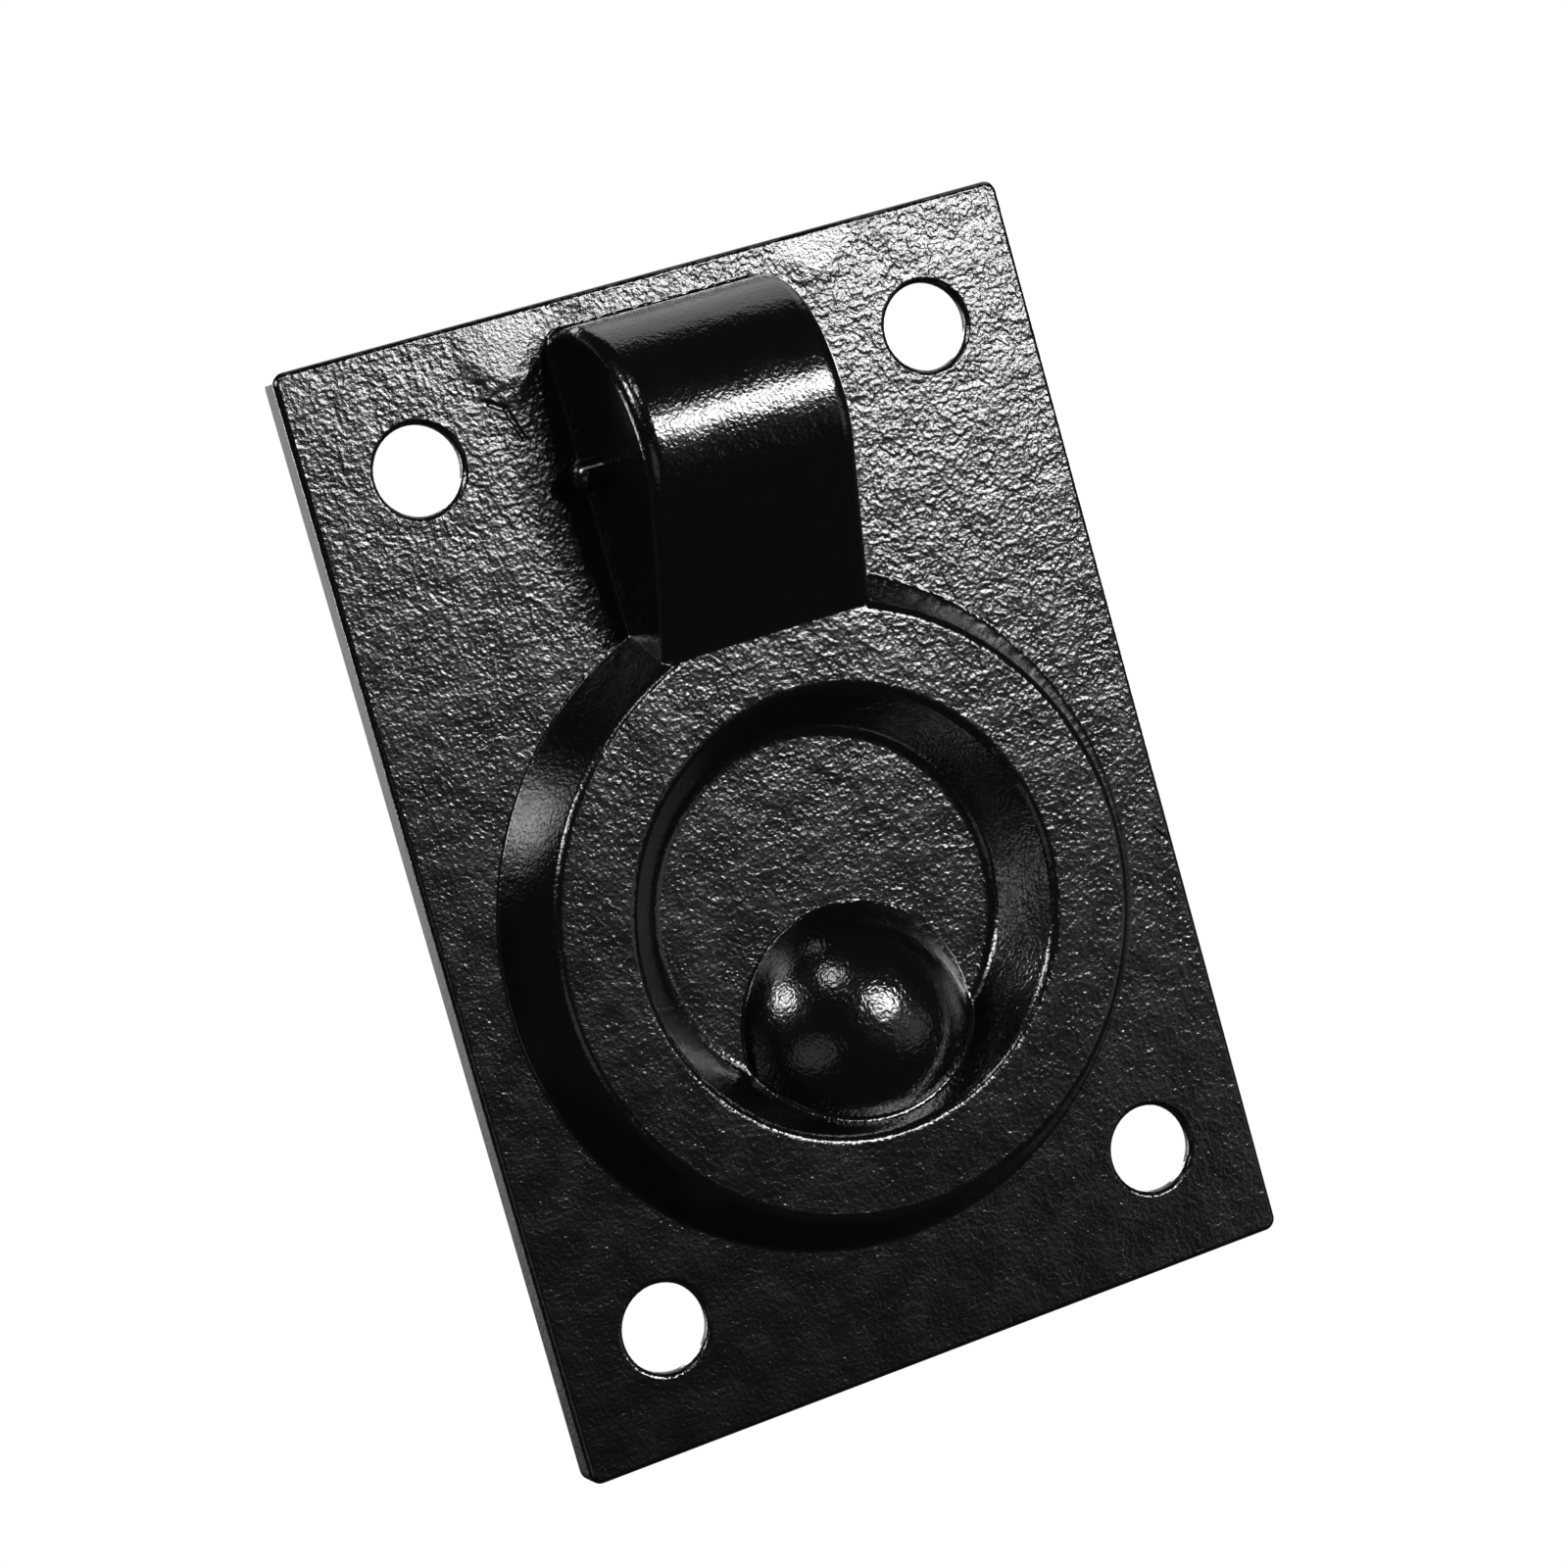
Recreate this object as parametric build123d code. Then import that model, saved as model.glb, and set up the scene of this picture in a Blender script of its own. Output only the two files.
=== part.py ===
from build123d import *
import os
from math import asin, atan, cos, hypot, radians, sin, sqrt, tan

# A flush ring pull in black enamelled cast iron. The plate screws onto a door or a hatch,
# and everything behind it sits in a pocket cut in the wood. A round ring lies in a groove
# of the plate's front, level with it, and swings out on a pin that crosses a housing cast
# on the plate's back. A round hollow under the ring lets a fingertip lift it.
#
# Frame: X across the plate, Y from the front to the back, Z up along the plate.
# The origin is the middle of the four fixing holes, on the plate's rear face.
# The front face, with the ring, looks along -Y. The trough and the housing stand up along +Y.

# Plate, a border round the trough and the hinge: 70 by 100 by 3.4 mm with the sizes below
plate_side_margin = 4.8
plate_foot_margin = 11.5
plate_head_margin = 2.8
plate_thickness = 3.4
plate_corner_radius = 1.1
plate_rear_round = 0.5
plate_front_round = 0.6

# Fixing holes, countersunk on the front, with their insets from the plate's edges
hole_inset_x = 10.3
hole_inset_z = 11.1
hole_radius = 3.95
hole_land = 1.0
countersink_half_angle = 45.0
hole_rim_round = 0.5

# Ring trough: a raised ring with sloping sides on the plate's rear face
trough_base_radius = 30.2
trough_outer_run = 3.2
trough_crown_width = 7.2
trough_inner_run = 3.6
trough_rise = 6.3
trough_crown_round = 1.0
trough_seam_round = 0.4

# Island inside the trough, level with the plate on the front
island_rise = 0.6
island_seam_round = 1.3

# Ring groove in the front, which leaves an even wall under the trough
trough_wall = 2.6
groove_floor_round = 1.2
groove_rim_round = 0.7

# Finger hollow: part of a ball at the foot of the island, with its dome on the rear
hollow_inset = 5.6
hollow_centre_depth = 4.3
dome_radius = 11.95
dome_wall = 2.6
dome_seam_round = 0.4
hollow_rim_round = 0.6

# Hinge housing on the rear, round at its upper end and sloping down to the trough's crown
housing_reach = 25.3
housing_width = 20.8
housing_draft = 3.4
housing_end_rise = 3.3
housing_end_radius = 11.3
housing_landing = 1.6
housing_edge_round = 1.3
housing_seam_round = 0.4
housing_wall = 2.7
slot_corner_round = 1.5
slot_rim_round = 0.5

# Hinge pin, through both cheeks of the housing
pin_drop = 1.3
pin_y = 3.3
pin_radius = 1.5
pin_proud = 2.6
pin_dome_height = 0.9
pin_running_gap = 0.05

# Pull ring: round bar, lug and knuckle
ring_bar_radius = 3.0
ring_below_front = 0.2
lug_side_play = 0.9
lug_inset = 0.1
lug_thickness = 4.6
lug_bend_length = 1.8
lug_bar_overlap = 0.6
lug_flare_radius = 6.0
lug_edge_round = 0.8

# Places and slopes that follow from the sizes above
front_y = -plate_thickness
past = 2.0
near = 0.001
plate_width = 2 * (trough_base_radius + plate_side_margin)
plate_height = plate_foot_margin + 2 * trough_base_radius + housing_reach + plate_head_margin
trough_centre_z = plate_foot_margin + trough_base_radius - plate_height / 2
trough_crown_radius = trough_base_radius - trough_outer_run
trough_inner_crown_radius = trough_crown_radius - trough_crown_width
island_radius = trough_inner_crown_radius - trough_inner_run
outer_slope = trough_outer_run / trough_rise
inner_slope = trough_inner_run / (trough_rise - island_rise)
hollow_centre_z = trough_centre_z + hollow_inset - island_radius
ring_y = front_y + ring_below_front + ring_bar_radius
housing_end_z = plate_height / 2 - plate_head_margin - housing_end_radius
draft_slope = tan(radians(housing_draft))
pin_z = housing_end_z - pin_drop
cheek_half = housing_width / 2 - pin_y * draft_slope


def rounded(face, corner, radius):
    """Rounds the corner of a flat face that lies nearest to a given point."""
    place = Vector(corner[0], corner[1], 0)
    nearest = face.vertices().sort_by(lambda vertex: (Vector(vertex) - place).length)[0]
    return fillet(nearest, radius)


def turned(face, x=0.0, z=0.0):
    """Revolves a face, drawn as radius and height, about a line along Y."""
    solid = revolve(Plane.XZ * face, Axis.Z)
    return Pos(x, 0, z) * Rot(-90, 0, 0) * solid


def plate_blank():
    """The flat plate, with rounded corners and softened edges."""
    outline = RectangleRounded(plate_width, plate_height, plate_corner_radius)
    blank = extrude(Plane.XZ * outline, plate_thickness)
    blank = fillet(blank.faces().sort_by(Axis.Y)[-1].edges(), plate_rear_round)
    return fillet(blank.faces().sort_by(Axis.Y)[0].edges(), plate_front_round)


def trough_back():
    """The rear of the ring trough with the island's back inside it."""
    rim = trough_base_radius + past
    seam = (trough_base_radius, 0)
    crown = (trough_crown_radius, trough_rise)
    inner_crown = (trough_inner_crown_radius, trough_rise)
    foot = (island_radius, island_rise)
    face = make_face(Polyline(
        (0, front_y / 2), (rim, front_y / 2), (rim, 0), seam,
        crown, inner_crown, foot, (0, island_rise), close=True))
    face = rounded(face, seam, trough_seam_round)
    face = rounded(face, crown, trough_crown_round)
    face = rounded(face, inner_crown, trough_crown_round)
    face = rounded(face, foot, island_seam_round)
    return turned(face, z=trough_centre_z)


def groove_outer(y):
    """Radius of the groove's outer wall at a height."""
    return trough_base_radius - outer_slope * y - trough_wall * hypot(1, outer_slope)


def groove_inner(y):
    """Radius of the groove's inner wall at a height."""
    return island_radius + inner_slope * (y - island_rise) + trough_wall * hypot(1, inner_slope)


def ring_radius():
    """Radius of the ring's middle line, half-way between the groove's walls."""
    return (groove_outer(ring_y) + groove_inner(ring_y)) / 2


def slope_angle():
    """Angle of the housing's slope, from the trough's crown up to the round end."""
    landing_z = trough_centre_z + trough_crown_radius - housing_landing
    run = housing_end_z - landing_z
    rise = housing_end_rise - trough_rise
    return atan(rise / run) + asin(housing_end_radius / hypot(run, rise))


def ring_groove():
    """The space of the ring's groove, cut from the front."""
    floor_y = trough_rise - trough_wall
    outer_rim = (groove_outer(front_y), front_y)
    inner_rim = (groove_inner(front_y), front_y)
    outer_floor = (groove_outer(floor_y), floor_y)
    inner_floor = (groove_inner(floor_y), floor_y)
    face = make_face(Polyline(
        (outer_rim[0] + past, front_y - past), (outer_rim[0] + past, front_y), outer_rim,
        outer_floor, inner_floor, inner_rim, (inner_rim[0] - past, front_y),
        (inner_rim[0] - past, front_y - past), close=True))
    for rim in (outer_rim, inner_rim):
        face = rounded(face, rim, groove_rim_round)
    for corner in (outer_floor, inner_floor):
        face = rounded(face, corner, groove_floor_round)
    return turned(face, z=trough_centre_z)


def ball(radius):
    """A ball about the centre of the finger hollow."""
    return Pos(0, -hollow_centre_depth, hollow_centre_z) * Sphere(radius)


def finger_hollow():
    """The space of the finger hollow, with a softened rim on the front."""
    inside = dome_radius - dome_wall
    offset = hollow_centre_depth - plate_thickness
    rim = sqrt(inside ** 2 - offset ** 2)
    lens = Pos(0, -hollow_centre_depth) * Circle(inside)
    lens &= Pos(inside / 2, 0) * Rectangle(inside, 4 * inside)
    lid_width = rim + past
    lid = Pos(lid_width / 2, front_y - inside) * Rectangle(lid_width, 2 * inside)
    face = rounded((lens + lid).face(), (rim, front_y), hollow_rim_round)
    return turned(face, z=hollow_centre_z)


def housing_side(end_z, end_y, radius, low_y, low_z):
    """Side outline of the housing or its slot, as Z and Y: straight end, round end, slope, foot."""
    slope = slope_angle()
    start = (end_z - radius * sin(slope), end_y + radius * cos(slope))
    foot = (low_z, start[1] - (start[0] - low_z) * tan(slope))
    half = (slope + radians(90)) / 2
    middle = (end_z + radius * cos(half), end_y + radius * sin(half))
    wall = (end_z + radius, end_y)
    line = Polyline(start, foot, (low_z, low_y), (wall[0], low_y), wall)
    return make_face(line + ThreePointArc(wall, middle, start))


def tapered_block(side, half_width):
    """Extrudes a side outline across the plate and tapers it by the casting's draft."""
    high_y = housing_end_rise + housing_end_radius + past
    low_y = front_y - past
    side_plane = Plane(origin=(0, 0, 0), x_dir=(0, 0, 1), z_dir=(-1, 0, 0))
    block = extrude(side_plane * side, housing_width, both=True)
    low_half = half_width - low_y * draft_slope
    high_half = half_width - high_y * draft_slope
    section = make_face(Polyline(
        (-low_half, low_y), (low_half, low_y), (high_half, high_y), (-high_half, high_y), close=True))
    return block & extrude(section, plate_height, both=True)


def long_edges(block):
    """Edges round a block's two side faces, apart from short ones and those along Y."""
    sides = [face for face in block.faces().filter_by(GeomType.PLANE)
             if abs(face.normal_at().X) > cos(radians(10))]
    edges = [edge for face in sides for edge in face.edges()]
    return [edge for edge in edges if edge.bounding_box().size.Z > past]


def housing_back():
    """The rear of the hinge housing, with its long edges rounded."""
    foot_z = trough_centre_z + (trough_inner_crown_radius + trough_crown_radius) / 2
    side = housing_side(housing_end_z, housing_end_rise, housing_end_radius, front_y / 2, foot_z)
    block = tapered_block(side, housing_width / 2)
    raised = [edge for edge in long_edges(block) if edge.bounding_box().max.Y > 0]
    return fillet(raised, housing_edge_round)


def hinge_slot():
    """The space inside the housing and its slot through the plate."""
    slope = slope_angle()
    lowered = pin_drop * sin(slope) + (pin_y - housing_end_rise) * cos(slope)
    radius = housing_end_radius - housing_wall - lowered
    low_z = trough_centre_z + ring_radius()
    half = housing_width / 2 - housing_wall * hypot(1, draft_slope)
    side = housing_side(pin_z, pin_y, radius, front_y - past, low_z)
    block = tapered_block(side, half)
    ends = [edge for edge in block.edges().filter_by(GeomType.LINE)
            if edge.bounding_box().min.Z > pin_z and edge.bounding_box().size.Y > past]
    return fillet(ends, slot_corner_round)


def fixing_hole():
    """The space of one countersunk fixing hole, at the middle of the plate."""
    sink_radius = hole_radius + (plate_thickness - hole_land) * tan(radians(countersink_half_angle))
    rear_rim = (hole_radius, 0)
    front_rim = (sink_radius, front_y)
    face = make_face(Polyline(
        (0, past), (hole_radius + past, past), (hole_radius + past, 0), rear_rim,
        (hole_radius, -hole_land), front_rim, (sink_radius + past, front_y),
        (sink_radius + past, front_y - past), (0, front_y - past), close=True))
    face = rounded(face, rear_rim, hole_rim_round)
    face = rounded(face, front_rim, hole_rim_round)
    return turned(face)


def edges_level(body, y, half_width, low_z, high_z):
    """Edges of a body that lie level at a height, in a band about the middle of the plate."""
    found = []
    for edge in body.edges():
        box = edge.bounding_box()
        level = abs(box.min.Y - y) < near and abs(box.max.Y - y) < near
        within = box.max.X < half_width and box.min.X > -half_width
        if level and within and box.min.Z > low_z and box.max.Z < high_z:
            found.append(edge)
    return found


def dome_seam(body):
    """Edges where the dome of the finger hollow meets the rest of the casting."""
    centre = Vector(0, -hollow_centre_depth, hollow_centre_z)
    found = []
    for edge in body.edges():
        places = [edge.position_at(share) for share in (0, 0.25, 0.5, 0.75, 1)]
        if all(abs((place - centre).length - dome_radius) < near for place in places):
            found.append(edge)
    return found


def plate_casting():
    """The whole casting: everything raised on the rear, less everything sunk from the front."""
    dome = ball(dome_radius) & Pos(0, plate_width / 2, hollow_centre_z) * Box(*[plate_width] * 3)
    body = plate_blank() + trough_back() + housing_back() + dome
    crown_z = trough_centre_z + groove_inner(0)
    top_z = plate_height / 2 - plate_rear_round
    body = fillet(edges_level(body, 0, housing_width / 2 + near, crown_z, top_z), housing_seam_round)
    body = fillet(dome_seam(body), dome_seam_round)
    body -= ring_groove()
    body -= finger_hollow()
    body -= hinge_slot()
    slot_edges = edges_level(body, front_y, housing_width / 2, crown_z, top_z)
    body = fillet([edge for edge in slot_edges if edge.geom_type != GeomType.CIRCLE], slot_rim_round)
    holes = GridLocations(plate_width - 2 * hole_inset_x, plate_height - 2 * hole_inset_z, 2, 2)
    body -= [Pos(place.position.X, 0, place.position.Y) * fixing_hole() for place in holes]
    return body - Pos(0, pin_y, pin_z) * Rot(0, 90, 0) * Cylinder(pin_radius, plate_width / 2)


def hinge_pin():
    """A plain pin with rounded ends that stand proud of the cheeks."""
    half = cheek_half + pin_proud
    straight = half - pin_dome_height
    dome = (pin_radius ** 2 + pin_dome_height ** 2) / (2 * pin_dome_height)
    quarter = asin(pin_radius / dome) / 2
    bulge = (dome * sin(quarter), half - dome + dome * cos(quarter))
    line = Polyline((0, half), (0, 0), (pin_radius, 0), (pin_radius, straight))
    profile = make_face(line + ThreePointArc((pin_radius, straight), bulge, (0, half)))
    end = revolve(Plane.XZ * profile, Axis.Z)
    pin = Rot(0, 90, 0) * end + Rot(0, -90, 0) * end
    return Pos(0, pin_y, pin_z) * pin


def lug_front(half_width):
    """Front outline of the ring's lug, as X and Z, flared where it runs into the bar."""
    outer = ring_radius() + lug_bar_overlap
    inner = ring_radius() - lug_bar_overlap
    height = plate_height / 2 - trough_centre_z
    tab = Pos(0, trough_centre_z + height / 2) * Rectangle(2 * half_width, height)
    face = (Pos(0, trough_centre_z) * Circle(outer) + tab).face()
    corner_z = trough_centre_z + sqrt(outer ** 2 - half_width ** 2)
    for side in (-1, 1):
        face = rounded(face, (side * half_width, corner_z), lug_flare_radius)
    face -= Pos(0, trough_centre_z) * Circle(inner)
    low_z = trough_centre_z + ring_radius() - ring_bar_radius
    window = Pos(0, low_z + height / 2) * Rectangle(plate_width, height)
    return face & window


def lug_side():
    """Side outline of the ring's lug, as Z and Y: flat front, round knuckle, sloping back."""
    low_z = trough_centre_z + ring_radius() - ring_bar_radius
    bend_z = trough_centre_z + ring_radius() + ring_bar_radius
    flat_y = ring_y - ring_bar_radius + lug_inset
    back_y = flat_y + lug_thickness
    knuckle = pin_y - flat_y
    rise = pin_y - back_y
    run = pin_z - bend_z
    lean = atan(rise / run) + asin(knuckle / hypot(run, rise))
    bend = (bend_z, back_y)
    back = (pin_z - knuckle * sin(lean), pin_y + knuckle * cos(lean))
    arm = make_face(Polyline(
        (low_z, flat_y), (low_z, back_y), bend, back, (pin_z, pin_y), (pin_z, flat_y), close=True))
    arm = rounded(arm, bend, lug_bend_length / tan(lean / 2))
    return arm + Pos(pin_z, pin_y) * Circle(knuckle)


def pull_ring():
    """The ring, its flat lug and the bored knuckle, cast in one piece."""
    bar = Pos(0, ring_y, trough_centre_z) * Rot(90, 0, 0) * Torus(ring_radius(), ring_bar_radius)
    half = cheek_half - housing_wall * hypot(1, draft_slope) - lug_side_play
    side_plane = Plane(origin=(0, 0, 0), x_dir=(0, 0, 1), z_dir=(-1, 0, 0))
    lug = extrude(side_plane * lug_side(), plate_width, both=True)
    lug &= extrude(Plane.XZ * lug_front(half), plate_width, both=True)
    lug = fillet(long_edges(lug), lug_edge_round)
    ring = bar + lug
    bore = Rot(0, 90, 0) * Cylinder(pin_radius + pin_running_gap, 4 * half)
    return ring - Pos(0, pin_y, pin_z) * bore


os.makedirs("parts", exist_ok=True)
for name, solid in (
        ("plate_casting", plate_casting()), ("pull_ring", pull_ring()), ("hinge_pin", hinge_pin())):
    print(name, round(solid.volume, 1), solid.is_valid, len(solid.solids()))
    export_step(solid, f"parts/{name}.step")
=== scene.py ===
"""Recessed pull handle, seen from behind: enamel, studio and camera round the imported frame."""
import math

import bmesh
import bpy
from mathutils import Matrix, Vector


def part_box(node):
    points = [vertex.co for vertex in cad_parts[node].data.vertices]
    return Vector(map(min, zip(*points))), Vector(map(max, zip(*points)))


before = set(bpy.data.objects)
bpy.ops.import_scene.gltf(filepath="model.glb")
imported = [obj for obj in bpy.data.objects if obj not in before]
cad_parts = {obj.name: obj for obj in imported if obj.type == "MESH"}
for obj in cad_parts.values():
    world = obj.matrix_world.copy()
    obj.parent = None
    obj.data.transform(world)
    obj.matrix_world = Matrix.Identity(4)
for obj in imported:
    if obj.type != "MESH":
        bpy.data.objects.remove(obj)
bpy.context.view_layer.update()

bl_info = {
    "name": "Recessed Pull Handle",
    "version": (1, 0, 0),
    "blender": (4, 5, 0),
    "location": "View3D > Sidebar > Pull Handle",
    "description": "Finishes a flush ring pull in black enamel and sets it in a plain studio",
    "category": "Object",
}

MM = 0.001
PLATE_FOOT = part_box("plate_casting")[0].z

# Enamel: the wrinkle lies on the flats, and fades on the housing's rounded end, high up the rear
WRINKLE_NAME = "Enamel Wrinkle"
FLAT_FACING = (0.75, 0.98)
LEVEL_FACING = (0.97, 0.998)
HOUSING_FADE = (7.8 * MM, 9.0 * MM, 1.0, 0.3)

# Sizes of the noises that make the wrinkle, as shares of its pitch, and their weights
BUMP_CURVE = (0.4, 0.8, 0.0, 0.48)
BROAD_PITCH, DRIFT_PITCH, SWIRL_PITCH = 0.45, 0.15, 1.6
BROAD_WEIGHT, DRIFT_WEIGHT = 0.5, 0.9
WALL_BROAD_WEIGHT = 0.6

# The wrinkle grows from one lower corner of the plate to the upper corner across from it
GROWTH_Z, GROWTH_X = 0.7, 0.75
GROWTH = (-40 * MM, 40 * MM, 0.42, 1.15)

# Patches beside the housing where the enamel pooled smooth: centre and half sizes.
# There its surface tilts a little towards the plate's end. They lie on the rear only.
REAR_SIDE = (-1.6 * MM, -0.6 * MM)
POOL_TOP = 50.5 * MM
POOL_TILT = 650.0
POOLED_PATCHES = (
    ((14.6 * MM, 0, 48.5 * MM), (4.2 * MM, 6.5 * MM)),
    ((-16.2 * MM, 0, 49.0 * MM), (3.6 * MM, 4.0 * MM)))

# Small nicks of the casting's rear: start, end, half width and depth in wrinkle heights
MARKS = (
    ((16.9 * MM, 0, 42.7 * MM), (15.7 * MM, 0, 41.9 * MM), 0.45 * MM, 2.2),
    ((15.7 * MM, 0, 41.9 * MM), (14.8 * MM, 0, 39.1 * MM), 0.4 * MM, 1.6),
    ((-33.4 * MM, 0, -11.0 * MM), (-34.2 * MM, 0, -12.2 * MM), 0.4 * MM, 1.5))

# Share of the wrinkle on each piece's flats, and of the soft waves on its other faces
CASTING_FLATS, CASTING_WALLS = 1.0, 0.8
RING_WALLS = 0.45
PIN_WALLS = 0.3

# Floor: how far out it runs into white, and the white that mirrored rays see behind the object
FLOOR_RADIUS = 6.0
FLOOR_FADE = (0.15, 0.7)
FLOOR_BEHIND = (-0.1, -0.6)
MIRRORED_WHITE = 0.5
ROOM_STRENGTH = 0.018

# Soft lamps: azimuth and elevation in degrees, distance, width, height, share of the lamp level
LAMPS = {
    "right_lamp": (-18.0, 14.0, 0.88, 0.21, 0.21, 1.3),
    "right_wash": (-28.5, 8.5, 0.9, 0.24, 0.24, 1.8),
    "left_lamp": (67.7, 34.8, 0.88, 0.24, 0.22, 1.2),
    "left_wash": (67.7, 34.8, 0.9, 0.42, 0.38, 0.1),
    "top_lamp": (12.5, 47.4, 0.9, 0.22, 0.22, 0.6),
    "low_left": (47.0, -14.0, 1.2, 0.8, 0.5, 0.026),
    "low_right": (-46.0, -17.0, 1.2, 0.7, 0.5, 0.032),
    "back_lamp": (-138.0, 52.0, 1.1, 0.9, 0.8, 0.06),
    "front_lamp": (175.0, 25.0, 1.1, 0.6, 0.5, 0.4),
    "front_right": (-138.0, 4.0, 1.2, 0.5, 0.5, 0.35),
    "front_left": (136.0, 8.0, 1.2, 0.5, 0.5, 0.35),
}

# Camera: place, direction to the right of the picture and direction of view
CAMERA_PLACE = (0.13133, 0.34802, 0.04255)
CAMERA_RIGHT = (-0.8911, 0.3656, -0.2688)
CAMERA_AHEAD = (-0.3504, -0.9308, -0.1044)
SENSOR_WIDTH = 36.0


# Settings

class EnamelSettings(bpy.types.PropertyGroup):
    """Colour and surface of the black enamel."""

    colour: bpy.props.FloatVectorProperty(
        name="Colour", description="Colour of the enamel",
        default=(0.0026, 0.0026, 0.0027), min=0, max=1, size=3, subtype="COLOR")
    roughness: bpy.props.FloatProperty(
        name="Roughness", description="Roughness of the enamel's gloss",
        default=0.16, min=0, max=1, subtype="FACTOR")
    grain: bpy.props.FloatProperty(
        name="Wrinkle Size", description="Distance from one wrinkle to the next on the flats",
        default=0.52 * MM, min=0.1 * MM, unit="LENGTH")
    depth: bpy.props.FloatProperty(
        name="Wrinkle Depth", description="Height of the wrinkles on the flats",
        default=0.044 * MM, min=0, unit="LENGTH")


class StudioSettings(bpy.types.PropertyGroup):
    """Floor, lamps and camera."""

    floor_colour: bpy.props.FloatVectorProperty(
        name="Floor Colour", description="Colour of the pale floor",
        default=(0.82, 0.82, 0.82), min=0, max=1, size=3, subtype="COLOR")
    floor_drop: bpy.props.FloatProperty(
        name="Floor Drop", description="How far the floor lies below the plate",
        default=0.3, min=0, unit="LENGTH")
    lamp_level: bpy.props.FloatProperty(
        name="Lamp Level", description="Radiance that every soft lamp takes its share of",
        default=10.0, min=0)
    lens: bpy.props.FloatProperty(
        name="Lens", description="Focal length of the camera on a 36 mm sensor",
        default=96.98, min=1, unit="CAMERA")


# Small helpers for node trees

def link(tree, source, target):
    """Joins an output to an input, or sets the input if a plain value is given."""
    if isinstance(source, bpy.types.NodeSocket):
        tree.links.new(source, target)
    else:
        target.default_value = source


def add_node(tree, kind, inputs=None, **values):
    """Adds a node, sets its properties and fills its inputs."""
    node = tree.nodes.new(kind)
    for name, value in values.items():
        setattr(node, name, value)
    for key, value in (inputs or {}).items():
        link(tree, value, node.inputs[key])
    return node


def calc(tree, operation, *terms, clamp=False):
    """A Math node's output."""
    node = add_node(tree, "ShaderNodeMath", dict(enumerate(terms)), operation=operation)
    node.use_clamp = clamp
    return node.outputs[0]


def ramp(tree, value, low, high, to_low=0.0, to_high=1.0):
    """Eases a value from one level to another between two limits."""
    node = add_node(tree, "ShaderNodeMapRange", {
        "Value": value, "From Min": low, "From Max": high, "To Min": to_low, "To Max": to_high},
        interpolation_type="SMOOTHSTEP")
    return node.outputs[0]


def noise(tree, position, scale, detail=0.0, rough=0.5, distort=0.0):
    """A noise pattern's value."""
    node = add_node(tree, "ShaderNodeTexNoise", {
        "Vector": position, "Scale": scale, "Detail": detail, "Roughness": rough,
        "Distortion": distort})
    return node.outputs[0]


def vector_calc(tree, operation, *terms):
    """A Vector Math node."""
    return add_node(tree, "ShaderNodeVectorMath", dict(enumerate(terms)), operation=operation)


def new_group(name, inputs, outputs):
    """An empty shader node group with the given sockets."""
    group = bpy.data.node_groups.new(name, "ShaderNodeTree")
    for socket, kind, default in inputs:
        made = group.interface.new_socket(socket, in_out="INPUT", socket_type=kind)
        made.default_value = default
    for socket, kind in outputs:
        group.interface.new_socket(socket, in_out="OUTPUT", socket_type=kind)
    start = group.nodes.new("NodeGroupInput")
    end = group.nodes.new("NodeGroupOutput")
    return group, start.outputs, end.inputs


def new_material(name):
    """An empty node material and its tree."""
    material = bpy.data.materials.new(name)
    material.use_nodes = True
    material.node_tree.nodes.clear()
    return material, material.node_tree


def finish_tree(tree, kind, shader):
    """Adds the output node of a material or a world and joins the shader to it."""
    output = add_node(tree, kind)
    tree.links.new(shader.outputs[0], output.inputs["Surface"])


# Enamel

def patch_mask(tree, place, noise_value, centre, half):
    """A soft, uneven round patch about a point, seen across the plate."""
    offset = vector_calc(tree, "SUBTRACT", place, centre)
    scaled = vector_calc(tree, "MULTIPLY", offset.outputs[0], (1 / half[0], 0, 1 / half[1]))
    reach = vector_calc(tree, "LENGTH", scaled.outputs[0])
    uneven = calc(tree, "ADD", reach.outputs["Value"], calc(tree, "MULTIPLY", noise_value, 0.5))
    return ramp(tree, uneven, 1.35, 0.85)


def mark_mask(tree, place, start, end, width):
    """A short groove between two points, rounded across its width."""
    start, along = Vector(start), Vector(end) - Vector(start)
    offset = vector_calc(tree, "SUBTRACT", place, start)
    share = vector_calc(tree, "DOT_PRODUCT", offset.outputs[0], along / along.length_squared)
    share = calc(tree, "ADD", share.outputs["Value"], 0.0, clamp=True)
    step = add_node(tree, "ShaderNodeVectorMath", {0: along, "Scale": share}, operation="SCALE")
    gap = vector_calc(tree, "DISTANCE", offset.outputs[0], step.outputs[0])
    return ramp(tree, gap.outputs["Value"], width, 0.0)


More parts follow.
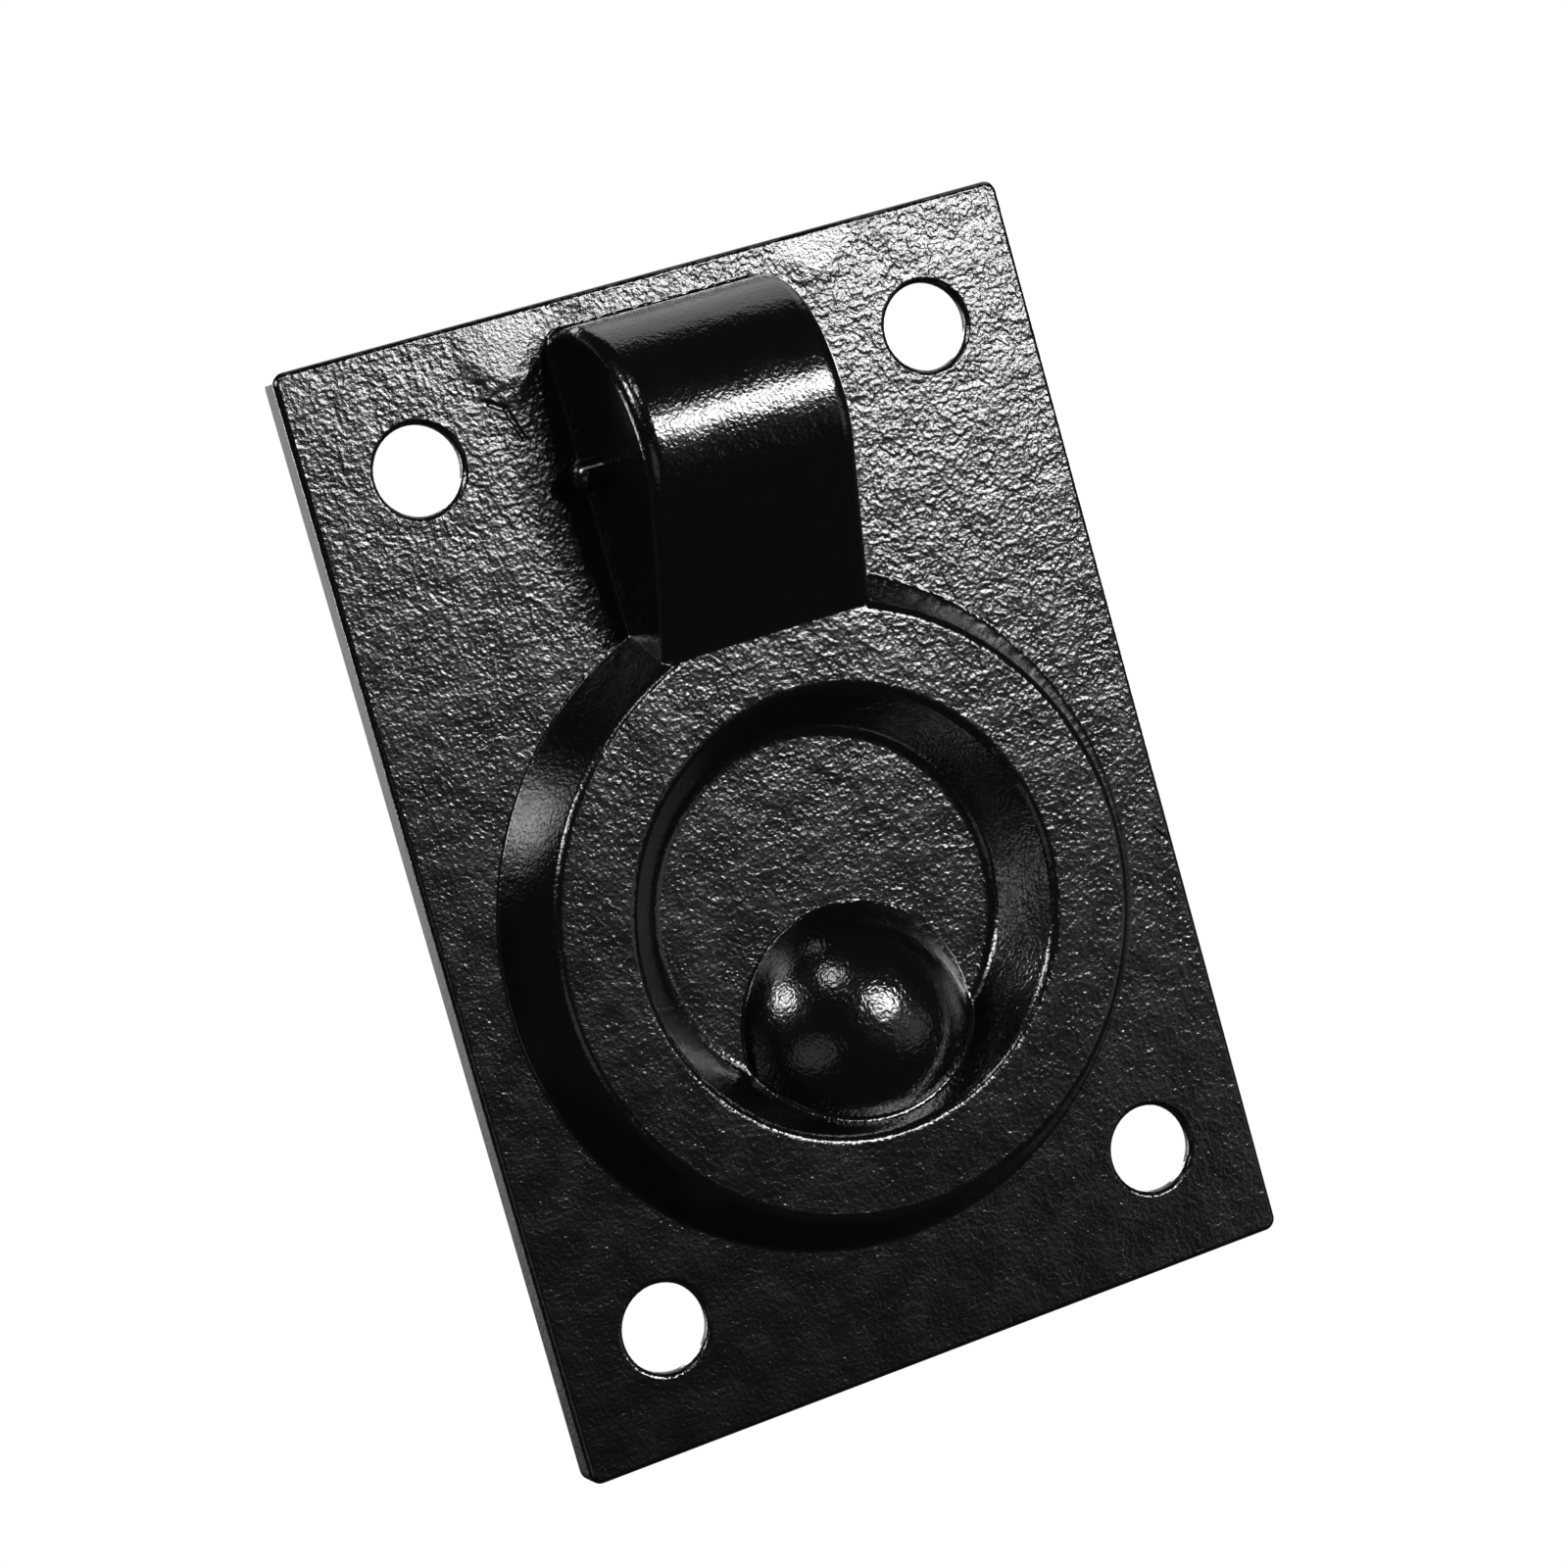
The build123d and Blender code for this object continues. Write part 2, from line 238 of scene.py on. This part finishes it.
def wrinkle_group():
    """The enamel's surface: height, roughness and gloss, wrinkled on the flats and smooth elsewhere."""
    group, given, made = new_group(WRINKLE_NAME, (
        ("Grain", "NodeSocketFloat", 0.5 * MM), ("Flats", "NodeSocketFloat", 1.0),
        ("Walls", "NodeSocketFloat", 0.1), ("Roughness", "NodeSocketFloat", 0.16)), (
        ("Height", "NodeSocketFloat"), ("Roughness", "NodeSocketFloat"),
        ("Gloss", "NodeSocketFloat")))

    def times(first, second):
        return calc(group, "MULTIPLY", first, second)

    def plus(first, second):
        return calc(group, "ADD", first, second)

    def minus(first, second):
        return calc(group, "SUBTRACT", first, second)

    coordinates = add_node(group, "ShaderNodeTexCoord")
    place = coordinates.outputs["Object"]
    spot = add_node(group, "ShaderNodeSeparateXYZ", {0: place})
    normal = add_node(group, "ShaderNodeSeparateXYZ", {0: coordinates.outputs["Normal"]})
    facing = calc(group, "ABSOLUTE", normal.outputs["Y"])

    # Where the wrinkle lies: faces square to Y, and less of it high on the rear
    wrinkled = times(ramp(group, spot.outputs["Y"], *HOUSING_FADE), given["Flats"])
    flat = times(ramp(group, facing, *FLAT_FACING), wrinkled)
    level = times(ramp(group, facing, *LEVEL_FACING), wrinkled)

    # Height on the flats: separate round bumps on slow waves, growing across the plate
    pitch = calc(group, "DIVIDE", 1.0, given["Grain"])
    bumps = ramp(group, noise(group, place, pitch), *BUMP_CURVE)
    broad = noise(group, place, times(pitch, BROAD_PITCH))
    drift = noise(group, place, times(pitch, DRIFT_PITCH))
    swirl = noise(group, place, times(pitch, SWIRL_PITCH), 1.0, 0.5, 0.4)
    height = plus(bumps, times(broad, BROAD_WEIGHT))
    height = plus(height, times(drift, DRIFT_WEIGHT))
    across = minus(times(spot.outputs["Z"], GROWTH_Z), times(spot.outputs["X"], GROWTH_X))
    height = times(height, ramp(group, across, *GROWTH))

    # Pooled patches and nicks on the rear
    rise = times(minus(POOL_TOP, spot.outputs["Z"]), POOL_TILT)
    rear = ramp(group, spot.outputs["Y"], *REAR_SIDE)
    for patch in POOLED_PATCHES:
        pooled = times(patch_mask(group, place, broad, *patch), rear)
        height = add_node(group, "ShaderNodeMix", {0: pooled, 2: height, 3: rise}).outputs[0]
    for start, end, width, dip in MARKS:
        dent = times(mark_mask(group, place, start, end, width), rear)
        height = minus(height, times(dent, dip))

    # Soft waves everywhere, and the gloss that follows them
    waves = plus(plus(swirl, times(broad, WALL_BROAD_WEIGHT)), drift)
    height = plus(times(height, flat), times(waves, given["Walls"]))
    rough = plus(given["Roughness"], ramp(group, drift, 0.3, 0.7, -0.03, 0.02))
    link(group, height, made["Height"])
    link(group, plus(rough, times(level, 0.06)), made["Roughness"])
    link(group, ramp(group, level, 0.0, 1.0, 1.0, 0.7), made["Gloss"])
    return group


def enamel(name, look, flats, walls, wrinkle):
    """Black enamel, with its wrinkle as a bump."""
    material, tree = new_material(name)
    surface = add_node(tree, "ShaderNodeGroup", node_tree=wrinkle)
    for socket, value in (
            ("Grain", look.grain), ("Flats", flats), ("Walls", walls),
            ("Roughness", look.roughness)):
        surface.inputs[socket].default_value = value
    bump = add_node(tree, "ShaderNodeBump", {
        "Height": surface.outputs["Height"], "Distance": look.depth, "Strength": 1.0})
    shader = add_node(tree, "ShaderNodeBsdfPrincipled", {
        "Base Color": (*look.colour, 1.0), "Roughness": surface.outputs["Roughness"], "IOR": 1.55,
        "Coat Weight": 1.0, "Coat Roughness": 0.14, "Coat IOR": 1.5,
        "Normal": bump.outputs[0], "Coat Normal": bump.outputs[0]})
    if flats:
        tree.links.new(surface.outputs["Gloss"], shader.inputs["Coat Weight"])
    finish_tree(tree, "ShaderNodeOutputMaterial", shader)
    return material


def dress(context, node, name, flats, walls):
    """Gives a CAD node its own enamel, made from the settings."""
    wrinkle = bpy.data.node_groups.get(WRINKLE_NAME) or wrinkle_group()
    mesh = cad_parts[node].data
    mesh.materials.clear()
    mesh.materials.append(enamel(name, context.scene.pull_enamel, flats, walls, wrinkle))


# Stage

def backdrop_share(tree, far, behind):
    """How much of a ray sees the white background: a camera ray anywhere, a mirrored one behind."""
    path = add_node(tree, "ShaderNodeLightPath")
    mirrored = calc(tree, "ADD", path.outputs["Is Glossy Ray"],
                    path.outputs["Is Transmission Ray"], clamp=True)
    mirrored = calc(tree, "MULTIPLY", calc(tree, "MULTIPLY", mirrored, behind), MIRRORED_WHITE)
    seen = calc(tree, "ADD", path.outputs["Is Camera Ray"], mirrored, clamp=True)
    return calc(tree, "MULTIPLY", seen, far)


def floor_material(colour):
    """A pale floor that keeps the shadow near the object and runs out into white."""
    material, tree = new_material("Floor")
    place = add_node(tree, "ShaderNodeTexCoord")
    split = add_node(tree, "ShaderNodeSeparateXYZ", {0: place.outputs["Object"]})
    flat = add_node(tree, "ShaderNodeCombineXYZ", {
        "X": split.outputs["X"], "Y": split.outputs["Y"], "Z": 0.0})
    reach = vector_calc(tree, "LENGTH", flat.outputs[0])
    far = ramp(tree, reach.outputs["Value"], *FLOOR_FADE)
    share = backdrop_share(tree, far, ramp(tree, split.outputs["Y"], *FLOOR_BEHIND))
    paint = add_node(tree, "ShaderNodeBsdfDiffuse", {"Color": (*colour, 1.0)})
    white = add_node(tree, "ShaderNodeEmission", {"Color": (1, 1, 1, 1), "Strength": 1.0})
    mixed = add_node(tree, "ShaderNodeMixShader", {
        0: share, 1: paint.outputs[0], 2: white.outputs[0]})
    finish_tree(tree, "ShaderNodeOutputMaterial", mixed)
    return material


def floor_piece(settings):
    """A wide round floor below the object, left out of the enamel's reflections."""
    bm = bmesh.new()
    bmesh.ops.create_circle(bm, cap_ends=True, segments=96, radius=FLOOR_RADIUS)
    bmesh.ops.translate(bm, verts=bm.verts, vec=(0, 0, PLATE_FOOT - settings.floor_drop))
    mesh = bpy.data.meshes.new("floor")
    bm.to_mesh(mesh)
    bm.free()
    floor = bpy.data.objects.new("floor", mesh)
    bpy.context.scene.collection.objects.link(floor)
    mesh.materials.append(floor_material(settings.floor_colour))
    floor.visible_glossy = False


def studio_world():
    """White for the camera and behind the object, a dim room elsewhere."""
    world = bpy.data.worlds.new("Studio")
    world.use_nodes = True
    tree = world.node_tree
    tree.nodes.clear()
    place = add_node(tree, "ShaderNodeTexCoord")
    split = add_node(tree, "ShaderNodeSeparateXYZ", {0: place.outputs["Generated"]})
    behind = ramp(tree, split.outputs["Y"], -0.5, -0.8)
    above = ramp(tree, split.outputs["Z"], -0.3, -0.05)
    below = ramp(tree, split.outputs["Z"], 0.6, 0.3)
    behind = calc(tree, "MULTIPLY", behind, calc(tree, "MULTIPLY", above, below))
    share = backdrop_share(tree, 1.0, behind)
    room, white = (
        add_node(tree, "ShaderNodeBackground", {"Color": (1, 1, 1, 1), "Strength": strength})
        for strength in (ROOM_STRENGTH, 1.0))
    mixed = add_node(tree, "ShaderNodeMixShader", {
        0: share, 1: room.outputs[0], 2: white.outputs[0]})
    finish_tree(tree, "ShaderNodeOutputWorld", mixed)
    bpy.context.scene.world = world


def direction(azimuth, elevation):
    """Unit vector from the object, with the azimuth from +Y towards +X."""
    azimuth, elevation = math.radians(azimuth), math.radians(elevation)
    return Vector((math.sin(azimuth) * math.cos(elevation),
                   math.cos(azimuth) * math.cos(elevation), math.sin(elevation)))


def soft_lamp(name, towards, distance, width, height, radiance):
    """A round soft lamp that looks at the object; its power follows from its size and radiance."""
    lamp = bpy.data.lights.new(name, "AREA")
    lamp.shape = "ELLIPSE"
    lamp.size, lamp.size_y = width, height
    lamp.energy = radiance * math.pi * math.pi * width * height / 4
    holder = bpy.data.objects.new(name, lamp)
    holder.location = towards * distance
    holder.rotation_euler = towards.to_track_quat("Z", "Y").to_euler()
    holder.visible_camera = False
    bpy.context.scene.collection.objects.link(holder)


def photo_camera(settings):
    """The camera at the photo's place, angle and roll."""
    camera = bpy.data.cameras.new("photo_camera")
    camera.lens = settings.lens
    camera.sensor_width = SENSOR_WIDTH
    holder = bpy.data.objects.new("photo_camera", camera)
    right = Vector(CAMERA_RIGHT).normalized()
    ahead = Vector(CAMERA_AHEAD).normalized()
    up = right.cross(ahead).normalized()
    right = ahead.cross(up)
    turn = Matrix((right, up, -ahead)).transposed()
    holder.matrix_world = Matrix.Translation(CAMERA_PLACE) @ turn.to_4x4()
    bpy.context.scene.collection.objects.link(holder)
    bpy.context.scene.camera = holder


# Operators

class PULL_OT_casting(bpy.types.Operator):
    """Gives the plate casting its wrinkled black enamel"""

    bl_idname = "pull_handle.casting"
    bl_label = "Finish Plate Casting"

    def execute(self, context):
        dress(context, "plate_casting", "Casting Enamel", CASTING_FLATS, CASTING_WALLS)
        return {"FINISHED"}


class PULL_OT_ring(bpy.types.Operator):
    """Gives the pull ring its smooth black enamel"""

    bl_idname = "pull_handle.ring"
    bl_label = "Finish Pull Ring"

    def execute(self, context):
        dress(context, "pull_ring", "Ring Enamel", 0.0, RING_WALLS)
        return {"FINISHED"}


class PULL_OT_pin(bpy.types.Operator):
    """Gives the hinge pin its black enamel"""

    bl_idname = "pull_handle.pin"
    bl_label = "Finish Hinge Pin"

    def execute(self, context):
        dress(context, "hinge_pin", "Pin Enamel", 0.0, PIN_WALLS)
        return {"FINISHED"}


class PULL_OT_studio(bpy.types.Operator):
    """Sets the floor, the soft lamps, the white background and the camera"""

    bl_idname = "pull_handle.studio"
    bl_label = "Set Up Studio"

    def execute(self, context):
        settings = context.scene.pull_studio
        floor_piece(settings)
        studio_world()
        for name, (azimuth, elevation, distance, width, height, share) in LAMPS.items():
            soft_lamp(name, direction(azimuth, elevation), distance, width, height,
                      settings.lamp_level * share)
        photo_camera(settings)
        context.scene.view_settings.view_transform = "Standard"
        return {"FINISHED"}


class PULL_PT_panel(bpy.types.Panel):
    """Lists the settings and the steps that dress the pull handle"""

    bl_idname = "PULL_PT_panel"
    bl_label = "Pull Handle"
    bl_space_type = "VIEW_3D"
    bl_region_type = "UI"
    bl_category = "Pull Handle"

    def draw(self, context):
        for group in (context.scene.pull_enamel, context.scene.pull_studio):
            for name in group.__annotations__:
                self.layout.prop(group, name)
        for operator in OPERATORS:
            self.layout.operator(operator.bl_idname)


OPERATORS = (PULL_OT_casting, PULL_OT_ring, PULL_OT_pin, PULL_OT_studio)
CLASSES = (EnamelSettings, StudioSettings, *OPERATORS, PULL_PT_panel)


def register():
    """Registers the classes and the settings."""
    for made in CLASSES:
        bpy.utils.register_class(made)
    bpy.types.Scene.pull_enamel = bpy.props.PointerProperty(type=EnamelSettings)
    bpy.types.Scene.pull_studio = bpy.props.PointerProperty(type=StudioSettings)


def unregister():
    """Takes the settings and the classes away."""
    del bpy.types.Scene.pull_studio
    del bpy.types.Scene.pull_enamel
    for made in reversed(CLASSES):
        bpy.utils.unregister_class(made)


def main():
    """Runs every step in order."""
    register()
    bpy.ops.pull_handle.casting()
    bpy.ops.pull_handle.ring()
    bpy.ops.pull_handle.pin()
    bpy.ops.pull_handle.studio()


if __name__ == "__main__":
    main()
